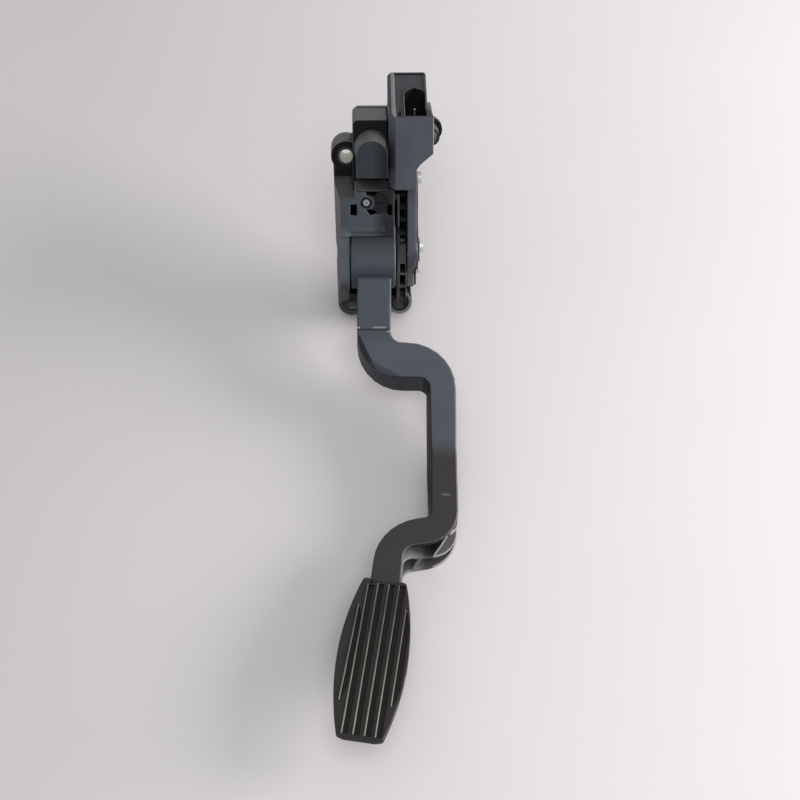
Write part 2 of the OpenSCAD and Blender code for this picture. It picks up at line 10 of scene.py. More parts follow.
import bpy
import bmesh
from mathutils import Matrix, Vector


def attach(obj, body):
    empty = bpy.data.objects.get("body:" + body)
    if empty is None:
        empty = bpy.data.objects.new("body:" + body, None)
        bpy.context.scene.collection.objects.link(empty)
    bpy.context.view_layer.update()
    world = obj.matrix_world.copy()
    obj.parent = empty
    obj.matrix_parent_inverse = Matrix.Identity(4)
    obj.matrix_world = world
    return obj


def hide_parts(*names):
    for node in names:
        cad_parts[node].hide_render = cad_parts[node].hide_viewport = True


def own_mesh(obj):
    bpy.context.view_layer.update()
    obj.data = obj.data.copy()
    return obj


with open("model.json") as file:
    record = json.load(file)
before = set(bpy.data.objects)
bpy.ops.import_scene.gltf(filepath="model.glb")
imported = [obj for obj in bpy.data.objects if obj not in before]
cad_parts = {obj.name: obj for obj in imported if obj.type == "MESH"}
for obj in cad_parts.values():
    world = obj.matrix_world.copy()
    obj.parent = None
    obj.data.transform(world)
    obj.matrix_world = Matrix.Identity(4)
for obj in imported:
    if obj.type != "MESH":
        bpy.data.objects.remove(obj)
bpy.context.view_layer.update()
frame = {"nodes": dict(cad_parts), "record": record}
scene = bpy.context.scene
scene.view_settings.view_transform = "Standard"


# The room: the pedal lies on a pale painted floor as it was put down, on the lower
# lugs' edge and the back of its arm, and the floor follows the arm when it is pressed.
# One broad window stands to the right; from below the floor is clear to look through.
def link_object(name, data):
    obj = bpy.data.objects.new(name, data)
    scene.collection.objects.link(obj)
    return obj


def aim(obj, place, target):
    """Stands a lamp or camera at place and turns it to target."""
    obj.location = place
    obj.rotation_mode = "QUATERNION"
    obj.rotation_quaternion = (Vector(target) - obj.location).to_track_quat("-Z", "Y")


def feed(links, socket, value):
    """Gives a socket a number, a vector or a colour, or joins another socket to it."""
    if isinstance(value, bpy.types.NodeSocket):
        links.new(value, socket)
    elif socket.type == "RGBA":
        socket.default_value = (*value, 1)
    else:
        socket.default_value = value


def math_node(nodes, links, kind, *values, clamp=False):
    node = nodes.new("ShaderNodeMath")
    node.operation = kind
    node.use_clamp = clamp
    for socket, value in zip(node.inputs, values):
        feed(links, socket, value)
    return node.outputs[0]


def between(nodes, links, value, centre, half, soft):
    """One where value is within half of centre, falling to zero over soft."""
    off = math_node(nodes, links, "SUBTRACT", value, centre)
    past = math_node(nodes, links, "SUBTRACT", math_node(nodes, links, "ABSOLUTE", off), half)
    part = math_node(nodes, links, "DIVIDE", past, soft)
    return math_node(nodes, links, "SUBTRACT", 1.0, part, clamp=True)


def tint(nodes, links, base, over, mask):
    """The colour base with the colour over laid on it where the mask says."""
    mix = nodes.new("ShaderNodeMix")
    mix.data_type = "RGBA"
    for socket, value in zip((mix.inputs[0], mix.inputs[6], mix.inputs[7]), (mask, base, over)):
        feed(links, socket, value)
    return mix.outputs[2]


def noise(nodes, links, scale, detail=2.0, roughness=0.5, place=None):
    """Noise over the piece's own coordinates, or over the given ones."""
    node = nodes.new("ShaderNodeTexNoise")
    place = place or nodes.new("ShaderNodeTexCoord").outputs["Object"]
    for label, value in (("Vector", place), ("Scale", scale), ("Detail", detail), ("Roughness", roughness)):
        feed(links, node.inputs[label], value)
    return node.outputs["Fac"]


def new_material(name):
    mat = bpy.data.materials.new(name)
    mat.use_nodes = True
    mat.node_tree.nodes.clear()
    return mat, mat.node_tree.nodes, mat.node_tree.links


FLOOR_TILT = math.radians(42.5)
FLOOR_HEIGHT = -0.0297
FLOOR_REACH = 3.0
FLOOR_PAINTED_SHADE, FLOOR_PAINTED_LIGHT = (0.63, 0.594, 0.588), (0.87, 0.822, 0.815)
FLOOR_PAINTED_SHADOW = (0.06, 0.055, 0.05)
SHADOW_STRIP_X, SHADOW_STRIP_Y = (-0.011, 0.0155, 0.002), (0.0078, 0.0038, 0.0015)


def floor_material():
    """Pale paint with painted light that brightens it towards the window, and a painted shadow in a strip
    under the lower lugs.
    """
    mat, nodes, links = new_material("pale_floor")
    place = nodes.new("ShaderNodeSeparateXYZ")
    links.new(nodes.new("ShaderNodeTexCoord").outputs["Object"], place.inputs[0])
    x, y = place.outputs["X"], place.outputs["Y"]
    # painted light: the floor's colour brightens towards the window on the right
    across = math_node(nodes, links, "MULTIPLY_ADD", x, 2.2, 0.42)
    down = math_node(nodes, links, "MULTIPLY", y, -0.3)
    towards_window = math_node(nodes, links, "ADD", across, down, clamp=True)
    cloud = math_node(nodes, links, "MULTIPLY_ADD", noise(nodes, links, 5.0, detail=4.0), 0.10, 0.95)
    shade = nodes.new("ShaderNodeVectorMath")
    shade.operation = "SCALE"
    links.new(tint(nodes, links, FLOOR_PAINTED_SHADE, FLOOR_PAINTED_LIGHT, towards_window), shade.inputs[0])
    links.new(cloud, shade.inputs["Scale"])
    # painted shadow: a dark strip on the floor just behind the lower lugs
    behind_edge = between(nodes, links, y, *SHADOW_STRIP_Y)
    behind_lugs = between(nodes, links, x, *SHADOW_STRIP_X)
    painted_shadow = math_node(nodes, links, "MULTIPLY", behind_edge, behind_lugs)
    paint = nodes.new("ShaderNodeBsdfDiffuse")
    links.new(tint(nodes, links, shade.outputs[0], FLOOR_PAINTED_SHADOW, painted_shadow), paint.inputs["Color"])
    clear = nodes.new("ShaderNodeBsdfTransparent")
    path = nodes.new("ShaderNodeLightPath")
    side = nodes.new("ShaderNodeNewGeometry")
    from_below = math_node(nodes, links, "MULTIPLY", path.outputs["Is Camera Ray"],
                           side.outputs["Backfacing"])
    mix = nodes.new("ShaderNodeMixShader")
    for socket, value in zip(mix.inputs, (from_below, paint.outputs[0], clear.outputs[0])):
        links.new(value, socket)
    links.new(mix.outputs[0], nodes.new("ShaderNodeOutputMaterial").inputs["Surface"])
    return mat


floor_mesh = bpy.data.meshes.new("floor")
corners = [(FLOOR_REACH * a, FLOOR_REACH * b, 0) for a, b in ((-1, -1), (1, -1), (1, 1), (-1, 1))]
floor_mesh.from_pydata(corners, [], [(0, 1, 2, 3)])
floor = link_object("floor", floor_mesh)
floor.rotation_euler = (FLOOR_TILT, 0, 0)
floor.location = (0, 0, FLOOR_HEIGHT)
floor_mesh.materials.append(floor_material())
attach(floor, "pedal")

SKY, SKY_STRENGTH = (0.93, 0.96, 1.0), 0.5
BACKDROP, BACKDROP_STRENGTH = (0.8, 0.765, 0.76), 1.0


def dress_world(world):
    """Sky light all round, which the camera and mirror-like finishes see as a pale backdrop."""
    world.use_nodes = True
    nodes, links = world.node_tree.nodes, world.node_tree.links
    sky, backdrop = nodes["Background"], nodes.new("ShaderNodeBackground")
    for shader, color, strength in ((sky, SKY, SKY_STRENGTH), (backdrop, BACKDROP, BACKDROP_STRENGTH)):
        feed(links, shader.inputs["Color"], color)
        feed(links, shader.inputs["Strength"], strength)
    path = nodes.new("ShaderNodeLightPath")
    mirrored = math_node(nodes, links, "MAXIMUM", path.outputs["Is Glossy Ray"],
                         path.outputs["Is Transmission Ray"])
    shown = math_node(nodes, links, "MAXIMUM", mirrored, path.outputs["Is Camera Ray"])
    mix = nodes.new("ShaderNodeMixShader")
    for socket, value in zip(mix.inputs, (shown, sky.outputs[0], backdrop.outputs[0])):
        links.new(value, socket)
    links.new(mix.outputs[0], nodes["World Output"].inputs["Surface"])


scene.world = bpy.data.worlds.new("room")
dress_world(scene.world)

LAMP_TARGET = (0, -0.08, -0.05)


def lamp(name, place, size, power, color):
    """A round soft lamp that shines on the pedal; size in metres, power in watts."""
    data = bpy.data.lights.new(name, "AREA")
    data.shape = "DISK"
    data.size = size
    data.energy = power
    data.color = color
    aim(link_object(name, data), place, LAMP_TARGET)


lamp("window", (1.58, -0.44, 0.49), 0.85, 24, (1.0, 0.97, 0.96))
lamp("ceiling", (0.1, -1.7, 0.9), 1.1, 10.5, (0.93, 0.96, 1.0))

CAMERA_PLACE, CAMERA_TARGET = (-0.02738, -1.10578, 0.27992), (0, -0.06, -0.06)
camera = link_object("camera", bpy.data.cameras.new("camera"))
camera.data.sensor_width = 36
camera.data.lens = 99
camera.data.clip_start = 0.05
aim(camera, CAMERA_PLACE, CAMERA_TARGET)
scene.camera = camera


# Housing: one black moulding in glass-filled plastic, with four lugs, the spring block
# and its tower, the front panel, two cheeks and the ladder of ribs. Its skin has a fine
# spark-eroded grain, dust and scuffed edges with a painted highlight. Its recesses are
# painted in shade, a few faces painted paler as lit, and patches of painted shade and
# painted light sit on the tower, the panel, the left cheek and the lower right lug.
def group(name, inputs, outputs):
    """An empty node group. A number makes a number input, three of them a vector; outputs are numbers."""
    tree = bpy.data.node_groups.new(name, "ShaderNodeTree")
    for label, value in inputs.items():
        kind = "NodeSocketVector" if isinstance(value, tuple) else "NodeSocketFloat"
        socket = tree.interface.new_socket(name=label, in_out="INPUT", socket_type=kind)
        socket.default_value = value
    for label in outputs:
        tree.interface.new_socket(name=label, in_out="OUTPUT", socket_type="NodeSocketFloat")
    nodes, links = tree.nodes, tree.links
    return tree, nodes, links, nodes.new("NodeGroupInput").outputs, nodes.new("NodeGroupOutput").inputs


def mould_grain():
    """Fine moulded grain and slow blotches."""
    tree, nodes, links, given, result = group(
        "mould_grain", {"Grain Size": 1600.0, "Blotch Size": 60.0}, ["Height", "Blotch"])
    links.new(noise(nodes, links, given["Grain Size"]), result["Height"])
    links.new(noise(nodes, links, given["Blotch Size"], detail=4.0, roughness=0.6), result["Blotch"])
    return tree


def edge_wear_and_glint():
    """Rubbed edges with a painted highlight, strongest on rounded faces turned to the window, read from the
    face attribute that softened() leaves, broken up by noise.
    """
    tree, nodes, links, given, result = group(
        "edge_wear_and_glint", {"Amount": 0.6, "Break Size": 260.0}, ["Mask"])
    edge = nodes.new("ShaderNodeAttribute")
    edge.attribute_name = "edge"
    patchy = noise(nodes, links, given["Break Size"], detail=3.0)
    bite = math_node(nodes, links, "MULTIPLY_ADD", patchy, 2.6, -0.75, clamp=True)
    worn_glint = math_node(nodes, links, "MULTIPLY", edge.outputs["Fac"], bite)
    links.new(math_node(nodes, links, "MULTIPLY", worn_glint, given["Amount"]), result["Mask"])
    return tree


def settled_dust():
    """Dust that lies on faces turned up, with specks that stick anywhere."""
    tree, nodes, links, given, result = group(
        "settled_dust", {"Film": 0.5, "Specks": 0.3}, ["Film Mask", "Speck Mask"])
    normal = nodes.new("ShaderNodeSeparateXYZ")
    links.new(nodes.new("ShaderNodeNewGeometry").outputs["Normal"], normal.inputs[0])
    turned_up = math_node(nodes, links, "MULTIPLY_ADD", normal.outputs["Z"], 2.2, -1.1, clamp=True)
    drift = math_node(nodes, links, "MULTIPLY_ADD", noise(nodes, links, 140.0, detail=4.0), 0.9, 0.5)
    film = math_node(nodes, links, "MULTIPLY", turned_up, drift)
    links.new(math_node(nodes, links, "MULTIPLY", film, given["Film"], clamp=True), result["Film Mask"])
    cells = nodes.new("ShaderNodeTexVoronoi")
    cells.inputs["Scale"].default_value = 420.0
    links.new(nodes.new("ShaderNodeTexCoord").outputs["Object"], cells.inputs["Vector"])
    near = math_node(nodes, links, "LESS_THAN", cells.outputs["Distance"], 0.13)
    chance = nodes.new("ShaderNodeSeparateXYZ")
    links.new(cells.outputs["Color"], chance.inputs[0])
    rare = math_node(nodes, links, "LESS_THAN", chance.outputs["X"], given["Specks"])
    links.new(math_node(nodes, links, "MULTIPLY", near, rare), result["Speck Mask"])
    return tree


def stripe_across():
    """One between two planes square to Axis, with soft limits; the sizes are in metres."""
    tree, nodes, links, given, result = group(
        "stripe_across", {"Axis": (0, 0, 1), "Centre": 0.0, "Half": 0.01, "Soft": 0.002}, ["Mask"])
    dot = nodes.new("ShaderNodeVectorMath")
    dot.operation = "DOT_PRODUCT"
    links.new(nodes.new("ShaderNodeTexCoord").outputs["Object"], dot.inputs[0])
    links.new(given["Axis"], dot.inputs[1])
    stripe = between(nodes, links, dot.outputs["Value"], given["Centre"], given["Half"], given["Soft"])
    links.new(stripe, result["Mask"])
    return tree


GRAIN, WEAR_AND_GLINT, DUST, STRIPE = mould_grain(), edge_wear_and_glint(), settled_dust(), stripe_across()


def add_group(nodes, links, tree, **values):
    """The outputs of a node group placed in a material with its own values."""
    node = nodes.new("ShaderNodeGroup")
    node.node_tree = tree
    for label, value in values.items():
        feed(links, node.inputs[label.replace("_", " ")], value)
    return node.outputs


ALONG = {"across": (1, 0, 0), "depth": (0, 1, 0), "up": (0, 0, 1)}


def band_mask(nodes, links, bands):
    """Where all the bands meet; each is an axis of ALONG with a centre, half width and soft margin."""
    mask = 1.0
    for axis, (centre, half, soft) in bands.items():
        stripe = add_group(nodes, links, STRIPE, Axis=ALONG[axis], Centre=centre, Half=half, Soft=soft)
        mask = math_node(nodes, links, "MULTIPLY", mask, stripe["Mask"])
    return mask


def patch(color, strength, **bands):
    """A tinted place on a moulding, between the planes of its bands."""
    return color, strength, bands


def skin_material(name):
    """A material with its shader in place; the last value is the shader's inputs, to be fed."""
    mat, nodes, links = new_material(name)
    skin = nodes.new("ShaderNodeBsdfPrincipled")
    links.new(skin.outputs[0], nodes.new("ShaderNodeOutputMaterial").inputs["Surface"])
    return mat, nodes, links, skin.inputs


def raised(nodes, links, skin, height, strength, distance):
    """Makes a skin look raised where height is large, by at most distance in metres."""
    lift = nodes.new("ShaderNodeBump")
    for label, value in (("Strength", strength), ("Distance", distance), ("Height", height)):
        feed(links, lift.inputs[label], value)
    links.new(lift.outputs["Normal"], skin["Normal"])


def face_mark(nodes, name):
    mark = nodes.new("ShaderNodeAttribute")
    mark.attribute_name = name
    return mark.outputs["Fac"]


SPECK_GREY = (0.5, 0.48, 0.44)
PALER, DARKER = 1.16, 0.86
GRAIN_LIFT, GRAIN_DEPTH = 0.12, 0.0003


def moulded(name, color, rough, wear_and_glint=0.6, rim=(0.42, 0.43, 0.43), broken=120.0, film=0.35, specks=0.012,
            dirt=(0.16, 0.14, 0.12), painted_shade=(0.016, 0.016, 0.0165), painted_light=(0.2, 0.21, 0.21), sheen=0.22,
            patches=()):
    """Plastic with grain, blotches, dust and worn edges. Two face attributes, left by softened(), mark faces
    painted darker, as painted shade, and paler, as painted light; painted shade also takes away sheen, edge
    marks and specks.
    """
    mat, nodes, links, skin = skin_material(name)
    grain = add_group(nodes, links, GRAIN)
    worn_glint = add_group(nodes, links, WEAR_AND_GLINT, Amount=wear_and_glint, Break_Size=broken)["Mask"]
    dust = add_group(nodes, links, DUST, Film=film, Specks=specks)
    blotch = math_node(nodes, links, "MULTIPLY_ADD", grain["Blotch"], 1.6, -0.3, clamp=True)
    pale = tuple(min(1.0, c * PALER + 0.002) for c in color)
    dark = tuple(c * DARKER for c in color)
    body = tint(nodes, links, dark, pale, blotch)
    for shade, strength, bands in patches:
        mask = math_node(nodes, links, "MULTIPLY", band_mask(nodes, links, bands), strength)
        body = tint(nodes, links, body, shade, mask)
    # the two face attributes: painted shade, then painted light
    shade_mask = face_mark(nodes, "painted_shade")
    unshaded = math_node(nodes, links, "SUBTRACT", 1.0, shade_mask, clamp=True)
    body = tint(nodes, links, body, painted_shade, shade_mask)
    body = tint(nodes, links, body, dirt, dust["Film Mask"])
    body = tint(nodes, links, body, painted_light, face_mark(nodes, "painted_light"))
    # edge wear and a painted highlight, both in the rim colour
    body = tint(nodes, links, body, rim, math_node(nodes, links, "MULTIPLY", worn_glint, unshaded))
    stuck = math_node(nodes, links, "MULTIPLY", dust["Speck Mask"], unshaded)
    feed(links, skin["Base Color"], tint(nodes, links, body, SPECK_GREY, stuck))
    feed(links, skin["Specular IOR Level"], math_node(nodes, links, "MULTIPLY", unshaded, sheen))
    feed(links, skin["Roughness"], math_node(nodes, links, "MULTIPLY_ADD", grain["Blotch"], 0.2, rough - 0.1))
    raised(nodes, links, skin, grain["Height"], GRAIN_LIFT, GRAIN_DEPTH)
    return mat


def merged_copy(node, gap_mm=0.002):
    """A CAD node's loose triangles as one closed bmesh."""
    bm = bmesh.new()
    bm.from_mesh(frame["nodes"][node].data)
    bmesh.ops.remove_doubles(bm, verts=bm.verts, dist=gap_mm / 1000)
    return bm


def finished_object(bm, name):
    """A smooth-shaded object made from a bmesh, which is freed."""
    for f in bm.faces:
        f.smooth = True
    mesh = bpy.data.meshes.new(name)
    bm.to_mesh(mesh)
    bm.free()
    return link_object(name, mesh)


LEVEL_ANGLE = 0.03


def breadths(bm):
    """For each face the breadth, in millimetres, of the flat patch that it belongs to.

    It is twice the area over the length of the rim, which suits a long strip."""
    found = {}
    for first in bm.faces:
        if first in found:
            continue
        flat, todo, rim = {first}, [first], 0.0
        while todo:
            f = todo.pop()
            for e in f.edges:
                level = [g for g in e.link_faces
                         if g is not f and g.normal.angle(f.normal, math.pi) < LEVEL_ANGLE]
                rim += 0 if level else e.calc_length()
                todo += [g for g in level if g not in flat]
                flat.update(level)
        size = 2000 * sum(f.calc_area() for f in flat) / max(rim, 1e-6)
        found.update((f, size) for f in flat)
    return found


SHARP, CREASED = math.radians(40), math.radians(50)


def softened(node, name, width, shortest=0.6, keep=None, zones=None, gap_mm=0.002, flat=0.4, thin=None):
    """A copy of a CAD node with its outer edges rounded and marked for edge wear and a painted highlight, in
    the node's own place.

    The sizes are in millimetres. zones takes a face's middle, its normal and the breadth of its flat
    patch, and gives how much painted shade and how much painted light the face gets. keep and thin
    take an edge's middle: keep tells whether the edge is rounded at all, thin whether by a quarter of
    the width only."""
    bm = merged_copy(node, gap_mm)
    bmesh.ops.dissolve_limit(bm, angle_limit=math.radians(flat), verts=bm.verts, edges=bm.edges,
                             delimit={"NORMAL"})
    bmesh.ops.triangulate(bm, faces=[f for f in bm.faces if len(f.verts) > 4], ngon_method="BEAUTY")
    mark = bm.faces.layers.float.new("edge")
    shade_layer, light_layer = bm.faces.layers.float.new("painted_shade"), bm.faces.layers.float.new("painted_light")
    picked, slim = [], []
    for e in bm.edges:
        if len(e.link_faces) != 2 or not e.is_convex or e.calc_length() < shortest / 1000:
            continue
        middle = (e.verts[0].co + e.verts[1].co) * 500
        if e.calc_face_angle() < SHARP or keep and not keep(middle):
            continue
        (slim if thin and thin(middle) else picked).append(e)
    for edges, size in ((picked, width), (slim, width / 4)):
        edges = [e for e in edges if e.is_valid]
        if not edges:
            continue
        done = bmesh.ops.bevel(bm, geom=edges, offset=size / 1000, offset_type="OFFSET", segments=2,
                               profile=0.5, affect="EDGES", clamp_overlap=False, loop_slide=False)
        # edge wear with a painted highlight: rounded faces turned right, to the window, and up are marked
        # most
        for f in done["faces"]:
            f[mark] = max(0.0, min(1.0, 1.4 * f.normal.x + 0.5 * f.normal.z - 0.15))
    bmesh.ops.remove_doubles(bm, verts=bm.verts, dist=1e-6)
    bm.normal_update()
    if zones:
        strips = breadths(bm)
        for f in bm.faces:
            f[shade_layer], f[light_layer] = zones(f.calc_center_median() * 1000, f.normal, strips[f])
    for e in bm.edges:
        if len(e.link_faces) == 2 and e.calc_face_angle() > CREASED:
            e.smooth = False
    obj = finished_object(bm, name)
    even = obj.modifiers.new("even", "WEIGHTED_NORMAL")
    even.keep_sharp = True
    even.weight = 90
    bpy.context.view_layer.update()
    graph = bpy.context.evaluated_depsgraph_get()
    whole = bpy.data.meshes.new_from_object(obj.evaluated_get(graph))
    whole.name = name
    obj.modifiers.clear()
    obj.data = whole
    return obj


def fitted(obj, node, material):
    """Puts a dressed piece in the place of its CAD node, on that node's body."""
    obj.data.materials.clear()
    obj.data.materials.append(material)
    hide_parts(node)
    bodies = frame["record"]["behaviour"]["bodies"]
    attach(obj, next(name for name, members in bodies.items() if node in members))


TOWER_FOOT, TOWER_BACK = 50, -38.2
BLOCK_LEFT, BLOCK_FRONT, BLOCK_TOP = -19.5, -38.6, 60
CHEEK_OUTSIDE = -27.5
LADDER_LEFT, LADDER_WALL, LADDER_RIGHT = -1.5, 0.7, 4.3
LADDER_STEP, LADDER_FOOT = 11, -26
LUG_TOP, LUG_FRONT = -14, -11


def housing_zones(at, facing, strip):
    """Painted shade and painted light per face: front faces and tops get little or no painted shade, some
    tops, the outer cheek and the ladder's lower front are painted paler as lit, and all else is painted in
    shade.
    """
    if facing.x < -0.5 and at.x < CHEEK_OUTSIDE and at.z < TOWER_FOOT:
        return 0.0, 0.3
    if facing.x < -0.5 and at.x < BLOCK_LEFT and at.z > TOWER_FOOT:
        return 0.25, 0.0
    if facing.z > 0.5 and (at.z > BLOCK_TOP or at.y < -30) and not -37 < at.y < -34:
        return 0.0, 0.35 if at.y < TOWER_BACK and at.z > BLOCK_TOP else 0.0
    if at.y < BLOCK_FRONT and at.z > TOWER_FOOT:
        if at.x > BLOCK_LEFT and facing.z < 0.5:
            return 0.55 if facing.y < -0.7 else 0.75, 0.0
        return 0.1, 0.0
    if at.y < BLOCK_FRONT:
        return 0.0 if facing.y < -0.3 else 0.8, 0.0
    if at.z < LUG_TOP and at.y < LUG_FRONT and facing.y < -0.7:
        return 0.1, 0.0
    if at.z < 0 and at.x < -24 and facing.x < 0.3:
        return 0.3, 0.0
    if LADDER_FOOT < at.z < LADDER_STEP and LADDER_LEFT < at.x < LADDER_RIGHT and facing.y < -0.5:
        return 0.3, 0.35
    if at.z > LADDER_STEP and LADDER_LEFT < at.x < LADDER_WALL and facing.y < -0.5:
        return 0.5, 0.0
    return 1.0, 0.0


housing_black = moulded(
    "housing_black", (0.054, 0.063, 0.074), 0.5, wear_and_glint=0.3, film=0.55, dirt=(0.105, 0.105, 0.09),
    painted_light=(0.13, 0.1, 0.08), patches=(
        # painted shade on the right of the tower's front
        patch((0.006, 0.007, 0.008), 0.9, across=(-0.0025, 0.005, 0.006), up=(0.061, 0.0125, 0.002)),
        # painted shadow on the panel beside the plug, under the sensor
        patch((0.006, 0.007, 0.009), 0.95, across=(-0.0025, 0.0045, 0.0065), up=(0.033, 0.012, 0.003)),
        # painted light: the left cheek's front below the panel, paler and bluish
        patch((0.11, 0.128, 0.145), 1.0, across=(-0.0275, 0.0035, 0.0005), up=(0.010, 0.009, 0.007),
              depth=(-0.0455, 0.0024, 0.0003)),
        # painted light: the lower right lug's front, paler
        patch((0.2, 0.21, 0.22), 0.9, across=(0.0011, 0.0062, 0.0006), up=(-0.0235, 0.0065, 0.0006),
              depth=(-0.0122, 0.0006, 0.0003))))
housing = softened("housing", "housing_shell", 0.45, zones=housing_zones)
fitted(housing, "housing", housing_black)


# Sleeves: rolled steel bushes with a thin zinc coat, pressed into the four lugs so that
# the nuts don't crush the plastic. Their flat ends are dark. Their bores are painted in
# shade, with painted light over it: all of the upper left one, a little of the lower ones,
# and a lit ring at the mouths of the two on the left.
def finish_nodes(material, *nodes):
    """Gives CAD nodes that stay as they are their material."""
    for node in nodes:
        obj = frame["nodes"][node]
        obj.data.materials.clear()
        obj.data.materials.append(material)


BORE_SHADE, ZINC_DULL, ZINC_PALE = (0.03, 0.03, 0.032), (0.55, 0.59, 0.44), (0.85, 0.87, 0.76)
SLEEVE_END = (0.012, 0.012, 0.012)
MOUTH_HALF, MOUTH_SOFT = 0.0016, 0.0006
UPPER_MOUTH, LOWER_MOUTH = -0.024, -0.0123


def sleeve_steel(name, bore_light, mouth=None):
    """Zinc-coated steel with dark ends; the second argument is how much of the bore is painted lit over its
    painted shade, mouth the depth of a painted lit ring at its front end.
    """
    mat, nodes, links, skin = skin_material(name)
    skin["Metallic"].default_value = 0.3
    skin["Roughness"].default_value = 0.38
    normal = nodes.new("ShaderNodeSeparateXYZ")
    links.new(nodes.new("ShaderNodeNewGeometry").outputs["True Normal"], normal.inputs[0])
    facing = math_node(nodes, links, "ABSOLUTE", normal.outputs["Y"])
    flush = math_node(nodes, links, "GREATER_THAN", facing, 0.8)
    zinc = tint(nodes, links, ZINC_DULL, ZINC_PALE, noise(nodes, links, 420.0))
    # painted shade in the bore, with painted light over it
    bore = tint(nodes, links, BORE_SHADE, zinc, bore_light)
    # painted light: a lit ring just inside the mouth
    if mouth is not None:
        lit = band_mask(nodes, links, {"depth": (mouth, MOUTH_HALF, MOUTH_SOFT)})
        bore = tint(nodes, links, bore, zinc, lit)
    feed(links, skin["Base Color"], tint(nodes, links, bore, SLEEVE_END, flush))
    return mat


# each bore's painted light and painted lit mouth ring
for corner, bore_light, mouth in (("upper_left", 1.0, UPPER_MOUTH), ("upper_right", 0.0, None),
                             ("lower_left", 0.12, LOWER_MOUTH), ("lower_right", 0.05, None)):
    finish_nodes(sleeve_steel("zinc_" + corner, bore_light, mouth), "bush_" + corner)


# Panel screw, its plug and the stops: a zinc-plated screw stands in a ring of the front
# panel with a notched black plug round it, and two rubber stops inside the housing take
# the arm's knocks at rest and at full travel.
TARNISH, SEAT_SHADOW = (0.35, 0.31, 0.2), (0.006, 0.007, 0.009)
SEAT_DEPTH = 0.05


def plated(name, color, rough, stained=0.4, metal=0.85, seat=None):
    """Plated metal with drawn lines and tarnish; behind the depth of its seat it lies in shadow."""
    mat, nodes, links, skin = skin_material(name)
    skin["Metallic"].default_value = metal
    drawn = nodes.new("ShaderNodeMapping")
    drawn.inputs["Scale"].default_value = (1, 0.12, 1)
    links.new(nodes.new("ShaderNodeTexCoord").outputs["Object"], drawn.inputs["Vector"])
    line = noise(nodes, links, 900.0, detail=3.0, place=drawn.outputs[0])
    cloudy = noise(nodes, links, 300.0)
    tarnished = math_node(nodes, links, "MULTIPLY_ADD", cloudy, stained * 2, -stained * 0.8, clamp=True)
    face = tint(nodes, links, color, TARNISH, tarnished)
    if seat is not None:
        sunk = band_mask(nodes, links, {"depth": (seat + SEAT_DEPTH, SEAT_DEPTH, 0.0002)})
        face = tint(nodes, links, face, SEAT_SHADOW, sunk)
    feed(links, skin["Base Color"], face)
    feed(links, skin["Roughness"], math_node(nodes, links, "MULTIPLY_ADD", line, 0.25, rough))
    raised(nodes, links, skin, line, 0.15, 0.0002)
    return mat


finish_nodes(plated("panel_screw_zinc", (0.26, 0.27, 0.26), 0.45, metal=0.4, seat=-0.0432), "panel_screw")
finish_nodes(moulded("plug_black", (0.006, 0.007, 0.009), 0.5, specks=0, film=0, wear_and_glint=0.1, sheen=0.15),
             "panel_plug")
rubber = moulded("stop_rubber", (0.02, 0.02, 0.021), 0.75, film=0.1)
finish_nodes(rubber, "rest_bumper", "travel_stop")


# Sensor: a second moulding on the right cheek, with the plug's shroud on top and a flat
# case over the pivot's end. A lid and three zinc screws close it over a green board.
MOUTH_LEAN, MOUTH_AT = math.radians(24.2), (-30, 88.3)
SOCKET_LEFT, SOCKET_RIGHT = 2.5, 13.6
SOCKET_FRONT, SOCKET_BACK = -46.8, -13.5
SHROUD_LEFT = -1.7
CASE_RIGHT, CASE_FRONT, CASE_BACK = 16.2, -46.5, -20


def sensor_zones(at, facing, strip):
    """Painted shade and painted light per face: the socket, most of the shroud's top and what lies near the
    wall are painted in shade; the shroud's top at its left, the left side and the case's right corner are
    painted paler as lit.
    """
    rise = (MOUTH_AT[0] - at.y) * math.sin(MOUTH_LEAN) + (at.z - MOUTH_AT[1]) * math.cos(MOUTH_LEAN)
    in_socket = SOCKET_LEFT < at.x < SOCKET_RIGHT and SOCKET_FRONT < at.y < SOCKET_BACK
    if in_socket and at.z > 60 and rise < -0.9:
        return 1.0, 0.0
    if rise > -1.4 and facing.y > -0.8:
        if facing.x < -0.3:
            return 0.45, 0.0
        return (0.0, 0.8) if at.x < SHROUD_LEFT else (0.5, 0.0)
    if facing.x < -0.3 and at.x < SHROUD_LEFT - 0.2:
        return 0.0, 0.2
    if at.x > CASE_RIGHT and at.y < CASE_FRONT and facing.x > 0.3:
        return 0.0, 0.9
    return (1.0 if at.y > CASE_BACK and facing.y < -0.5 else 0.0), 0.0


sensor_black = moulded("sensor_black", (0.066, 0.073, 0.087), 0.45, film=0.12, patches=(
    patch((0.11, 0.12, 0.13), 1.0, up=(-0.006, 0.006, 0.002)),))
sensor = softened("sensor_body", "sensor_shell", 0.4, zones=sensor_zones)
fitted(sensor, "sensor_body", sensor_black)
lid = softened("sensor_lid", "sensor_cover", 0.25)
fitted(lid, "sensor_lid", moulded("lid_black", (0.04, 0.044, 0.05), 0.5))
screw_zinc = plated("screw_zinc", (0.8, 0.8, 0.785), 0.34, stained=0.15, metal=0.45)
finish_nodes(screw_zinc, "sensor_screws")
finish_nodes(plated("terminal_tin", (0.85, 0.8, 0.62), 0.25), "terminals")
finish_nodes(moulded("board_green", (0.02, 0.09, 0.04), 0.4), "circuit_board")
finish_nodes(rubber, "shaft_seal")
finish_nodes(plated("magnet_grey", (0.2, 0.2, 0.21), 0.4), "rotor_magnet")


